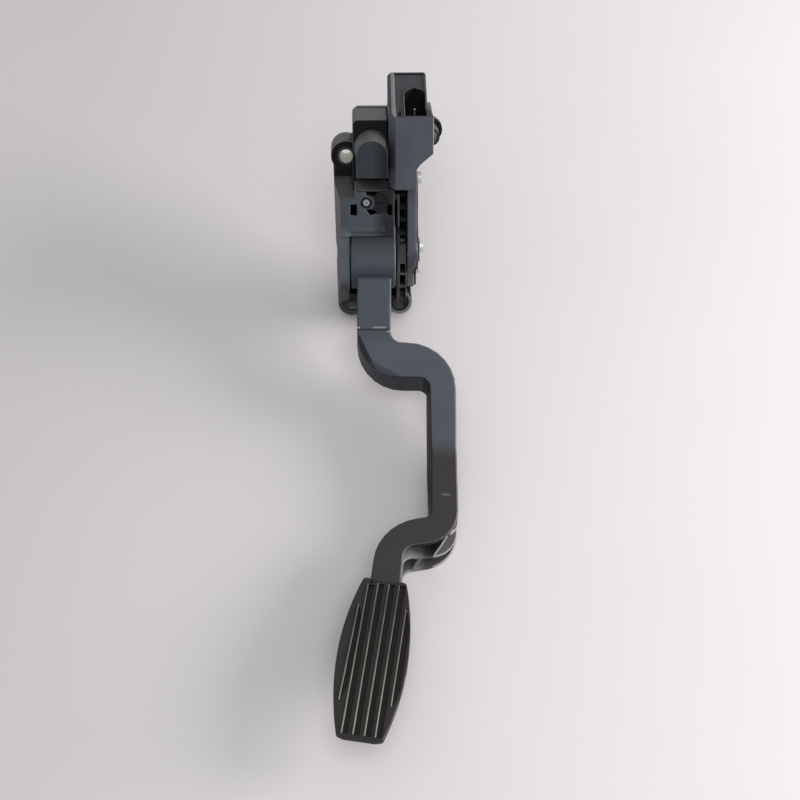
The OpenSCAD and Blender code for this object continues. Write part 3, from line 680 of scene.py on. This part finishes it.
# Pivot: a steel shaft in two white plastic bearings, held by a snap ring, with the white
# carrier of the sensor's magnet on its end.
bearing_white = moulded("bearing_white", (0.62, 0.6, 0.54), 0.4, wear_and_glint=0.1)
finish_nodes(bearing_white, "bearing_left", "bearing_right", "rotor_carrier")
finish_nodes(screw_zinc, "pivot_pin", "retaining_clip")


# Return springs: two steel coils, one in the other, between a seat in the tower and a cup
# on the arm's heel; each coil is a closed copy of its CAD node with a mesh of its own.
spring_wire = plated("spring_wire", (0.5, 0.5, 0.52), 0.3)
finish_nodes(bearing_white, "spring_cup", "spring_base")
for node in ("outer_spring", "inner_spring"):
    coil = finished_object(merged_copy(node), node + "_coil")
    fitted(coil, node, spring_wire)
    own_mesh(coil)


# Arm: one long black moulding, an open ribbed channel bent sideways twice, with a hub on
# the shaft, a heel lever behind it and a foot for the pad. Its lower half is painted darker
# and brownish, a painted reflection; the hub's top and the flanks turned from the window
# are painted in shade, and rib cells and edges at the lower bend painted paler as lit.
# The crease below the hub has a dark line and pale chips.
LOWER_LEAN = math.radians(48)
BEND_DEPTH, BEND_HEIGHT = 95.46, -78.37
CREASE_DEPTH = (-0.056, 0.003, 0.001)
CHIP, CREASE_DARK = (0.42, 0.42, 0.41), (0.006, 0.006, 0.007)
ALONG["off_face"] = (0, -math.cos(LOWER_LEAN), math.sin(LOWER_LEAN))


def below_face(at):
    """How far a point in millimetres stands off the front of the arm's lower half."""
    return (-at.y - BEND_DEPTH) * math.cos(LOWER_LEAN) + (at.z - BEND_HEIGHT) * math.sin(LOWER_LEAN)


def arm_zones(at, facing, strip):
    """Painted shade and painted light per face: the flanks turned from the window are painted in shade, the
    low ribs' edges painted paler as lit.
    """
    if facing.x < -0.45 and 11 < at.x < 16 and -99 < at.z < -44:
        return 0.88, 0.0
    if at.z < -95 and at.x > -14 and below_face(at) < -2:
        rib_edge = strip < 2.2 and facing.x > 0.3
        return 0.0, max(0.0, min(1.0, (-90 - at.z) / 18)) if rib_edge else 0.0
    if at.z < -24 and at.y < -30 and (facing.x < -0.45 or facing.z < -0.25):
        return 0.6, 0.0
    return 0.0, 0.0


def meets_hub(at):
    """True for the edge where the arm's front runs into the hub."""
    return -3 < at.z < 1 and at.y < -43 and -21 < at.x < -4


LOWER_BEND = {"up": (-0.118, 0.018, 0.006), "off_face": (-0.0124, 0.0145, 0.001)}
arm_black = moulded(
    "arm_black", (0.063, 0.072, 0.085), 0.5, wear_and_glint=0.5, broken=60.0, film=0.1, painted_shade=(0.006, 0.006, 0.0065),
    painted_light=(0.3, 0.31, 0.315), patches=(
        # painted shade: darker and bluer above the crease, where the face tilts differently
        patch((0.045, 0.054, 0.066), 0.8, up=(-0.012, 0.013, 0.006)),
        # painted shadow on the top of the hub, under the panel
        patch((0.006, 0.007, 0.009), 1.0, up=(0.030, 0.009, 0.012)),
        # painted reflection: the lower half darker and brownish
        patch((0.027, 0.025, 0.023), 0.97, up=(-0.123, 0.0445, 0.008)),
        patch(CREASE_DARK, 0.85, up=(-0.0243, 0.0003, 0.0003), depth=CREASE_DEPTH),
        # painted light in the left rib cells at the lower bend
        patch((0.2, 0.21, 0.218), 0.95, across=(-0.006, 0.013, 0.006), **LOWER_BEND),
        # painted light in the right rib cells at the lower bend
        patch((0.062, 0.054, 0.05), 0.9, across=(0.026, 0.013, 0.004), **LOWER_BEND),
        patch(CHIP, 0.2, up=(-0.0918, 0.0001, 0.0005), across=(0.0209, 0.0014, 0.0012),
              depth=(-0.1104, 0.003, 0.001)),
        patch(CHIP, 0.8, up=(-0.0234, 0.0002, 0.0003), across=(-0.0206, 0.0006, 0.0005), depth=CREASE_DEPTH),
        patch(CHIP, 0.5, up=(-0.0234, 0.0002, 0.0003), across=(-0.0100, 0.0025, 0.0015), depth=CREASE_DEPTH),
        patch(CHIP, 0.6, up=(-0.0252, 0.0001, 0.0003), across=(-0.0052, 0.0010, 0.0006), depth=CREASE_DEPTH)))
arm = softened("pedal_arm", "arm_channel", 0.8, shortest=0.3, zones=arm_zones, gap_mm=0.06, flat=1.2,
               thin=lambda at: below_face(at) < -3, keep=lambda at: not meets_hub(at))
fitted(arm, "pedal_arm", arm_black)


# Pad: a barrel-shaped tread cover clipped over the arm's foot, with raised lines beside
# cut grooves. Shoes have rubbed the lines pale, most of all at the bottom.
GROOVE_FLOOR, LINE_TOP = (0.0048, 0.0006, 0.0003), (0.0082, 0.0009, 0.0001)
pad_black = moulded(
    "pad_black", (0.017, 0.0155, 0.0135), 0.6, rim=(0.42, 0.4, 0.34), film=0.05, patches=(
        # painted shade on the groove floors
        patch((0.006, 0.006, 0.0055), 0.75, off_face=GROOVE_FLOOR),
        patch((0.06, 0.058, 0.053), 1.0, off_face=LINE_TOP),
        patch((0.26, 0.245, 0.2), 0.9, off_face=LINE_TOP, up=(-0.175, 0.008, 0.03))))
pad = softened("pad_cover", "tread_cover", 0.25, shortest=0.3)
fitted(pad, "pad_cover", pad_black)
